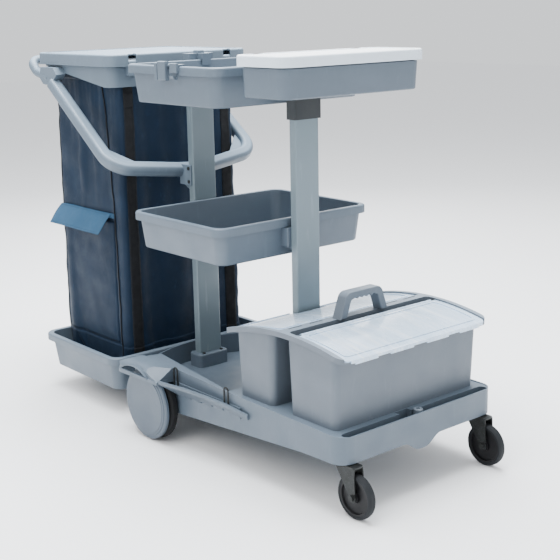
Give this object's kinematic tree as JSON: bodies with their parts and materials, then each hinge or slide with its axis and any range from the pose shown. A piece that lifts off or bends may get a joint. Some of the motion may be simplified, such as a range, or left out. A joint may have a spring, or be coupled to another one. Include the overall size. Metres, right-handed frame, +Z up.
{
  "type": "housekeeping cart",
  "caption": "Housekeeping cart with a lidded laundry bag on a tray, open shelf trays between posts, a lidded box on top and a lift-out caddy on a wheeled base.",
  "frame": {"origin": "on the floor, below the middle of the overall box", "axes": "+Z up, +X from the push handle towards the caddy end, +Y the left side when pushed"},
  "size_m": [1.3765, 0.626, 0.985],
  "materials": {
    "body_plastic": "satin moulded plastic, fine texture",
    "tray_plastic": "satin moulded plastic, fine texture",
    "frame_plastic": "satin moulded plastic",
    "caddy_plastic": "satin moulded plastic",
    "clear_plastic": "translucent glossy sheet",
    "lid_plastic": "satin, near white",
    "post_metal": "powder coated",
    "collar_plastic": "matt dark moulding",
    "bag_fabric": "coated polyester",
    "flap_fabric": "coated polyester",
    "steel": "zinc plated",
    "hub_plastic": "matt dark moulding",
    "tread_rubber": "grey rubber",
    "black_rubber": "black rubber",
    "cover_plastic": "satin moulded plastic"
  },
  "bodies": {
    "frame": {"axle_bushes": "collar_plastic", "axle_retainers": "steel", "bag_frame": "frame_plastic", "bag_hooks": "steel", "bag_lid_pins": "steel", "bag_pocket_flap": "flap_fabric", "bag_tray": "tray_plastic", "base": "body_plastic", "caddy_buffer": "caddy_plastic", "caster_left_king_pin": "steel", "caster_left_plate": "steel", "caster_right_king_pin": "steel", "caster_right_plate": "steel", "fender_left": "body_plastic", "fender_right": "body_plastic", "front_lid_pins": "steel", "front_post": "post_metal", "front_post_socket": "body_plastic", "front_tray": "tray_plastic", "front_tray_collar": "collar_plastic", "handle_brackets": "frame_plastic", "laundry_bag": "bag_fabric", "mid_tray": "tray_plastic", "mid_tray_brackets": "tray_plastic", "push_handle": "frame_plastic", "rear_axle": "steel", "rear_platform": "body_plastic", "rear_post": "post_metal", "rear_post_cap": "tray_plastic", "rear_post_socket": "body_plastic", "socket_screws": "steel", "strut_bar": "frame_plastic", "strut_bracket": "frame_plastic", "strut_screws": "steel", "tool_clip": "tray_plastic", "top_tray": "tray_plastic", "top_tray_brackets": "tray_plastic"},
    "bag_lid": {"bag_lid": "frame_plastic"},
    "front_tray_lid": {"front_tray_lid": "lid_plastic"},
    "caddy": {"caddy_body": "caddy_plastic", "caddy_handle": "caddy_plastic", "caddy_hinge_rods": "steel"},
    "caddy_flap_front": {"caddy_flap_front": "clear_plastic"},
    "caddy_flap_rear": {"caddy_flap_rear": "clear_plastic"},
    "side_shelf": {"side_shelf": "body_plastic", "shelf_hooks": "steel"},
    "caster_right_swivel": {"caster_right_fork": "steel", "caster_right_axle": "steel"},
    "caster_right_wheel": {"caster_right_hub": "hub_plastic", "caster_right_tyre": "tread_rubber"},
    "rear_wheel_right": {"rear_wheel_right_tyre": "black_rubber", "rear_wheel_right_hub": "hub_plastic", "rear_wheel_right_cover": "cover_plastic"},
    "caster_left_swivel": {"caster_left_fork": "steel", "caster_left_axle": "steel"},
    "caster_left_wheel": {"caster_left_hub": "hub_plastic", "caster_left_tyre": "tread_rubber"},
    "rear_wheel_left": {"rear_wheel_left_tyre": "black_rubber", "rear_wheel_left_hub": "hub_plastic", "rear_wheel_left_cover": "cover_plastic"}
  },
  "joints": [
    {"name": "bag_lid_hinge", "type": "hinge", "parent": "frame", "child": "bag_lid", "pos_m": [-0.269, 0, 0.952], "axis": [0, 1, 0], "range_deg": [0, 105]},
    {"name": "front_tray_lid_hinge", "type": "hinge", "parent": "frame", "child": "front_tray_lid", "pos_m": [0.248, 0, 0.968], "axis": [0, -1, 0], "range_deg": [0, 95]},
    {"name": "caddy_lift", "type": "slide", "parent": "frame", "child": "caddy", "axis": [0, 0, 1], "range_m": [0, 0.12]},
    {"name": "caddy_flap_front_hinge", "type": "hinge", "parent": "caddy", "child": "caddy_flap_front", "pos_m": [0.4545, 0, 0.37482], "axis": [0, -1, 0], "range_deg": [0, 90]},
    {"name": "caddy_flap_rear_hinge", "type": "hinge", "parent": "caddy", "child": "caddy_flap_rear", "pos_m": [0.3955, 0, 0.37414], "axis": [0, 1, 0], "range_deg": [0, 90]},
    {"name": "side_shelf_lift", "type": "slide", "parent": "frame", "child": "side_shelf", "axis": [0, 0, 1], "range_m": [0, 0.05]},
    {"name": "caster_right_swivel", "type": "hinge", "parent": "frame", "child": "caster_right_swivel", "pos_m": [0.595, -0.217, 0.12], "axis": [0, 0, 1], "continuous": true},
    {"name": "caster_right_spin", "type": "hinge", "parent": "caster_right_swivel", "child": "caster_right_wheel", "pos_m": [0.635, -0.217, 0.0515], "axis": [0, 1, 0], "continuous": true},
    {"name": "rear_wheel_right_spin", "type": "hinge", "parent": "frame", "child": "rear_wheel_right", "pos_m": [-0.065, -0.267, 0.095], "axis": [0, 1, 0], "continuous": true},
    {"name": "caster_left_swivel", "type": "hinge", "parent": "frame", "child": "caster_left_swivel", "pos_m": [0.595, 0.217, 0.12], "axis": [0, 0, 1], "continuous": true},
    {"name": "caster_left_spin", "type": "hinge", "parent": "caster_left_swivel", "child": "caster_left_wheel", "pos_m": [0.635, 0.217, 0.0515], "axis": [0, 1, 0], "continuous": true},
    {"name": "rear_wheel_left_spin", "type": "hinge", "parent": "frame", "child": "rear_wheel_left", "pos_m": [-0.065, 0.267, 0.095], "axis": [0, 1, 0], "continuous": true}
  ]
}
